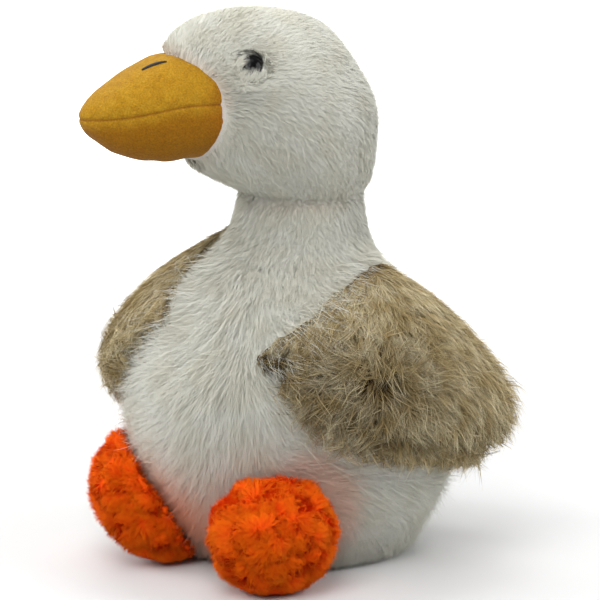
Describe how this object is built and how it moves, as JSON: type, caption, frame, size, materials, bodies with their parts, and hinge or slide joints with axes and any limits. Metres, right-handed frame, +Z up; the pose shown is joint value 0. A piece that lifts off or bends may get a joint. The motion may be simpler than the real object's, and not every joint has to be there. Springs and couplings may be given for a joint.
{
  "type": "plush goose toy",
  "caption": "Seated stuffed plush goose with a felt bill, glossy bead eyes, fluffy tan wings and fluffy orange feet; a soft toy that sits on a floor or shelf.",
  "frame": {"origin": "middle of the flat under the belly, on the floor, straight below the neck", "axes": "+Z up; the body faces -Y and its left side is at +X; the head is turned to its right"},
  "size_m": [0.157, 0.1749, 0.215],
  "materials": {
    "white_plush": "long soft white pile on the body, short dense pile on the head",
    "tan_plush": "long tousled tan pile with darker roots",
    "orange_plush": "curly bright orange pile",
    "yellow_felt": "short brushed felt",
    "black_bead": "glossy"
  },
  "bodies": {
    "root": {"trunk": "white_plush", "neck": "white_plush", "head": "white_plush", "tail": "white_plush", "wing_left": "tan_plush", "wing_right": "tan_plush", "foot_left": "orange_plush", "foot_right": "orange_plush", "bill_upper": "yellow_felt", "bill_lower": "yellow_felt", "eye_left": "black_bead", "eye_right": "black_bead"}
  },
  "joints": []
}
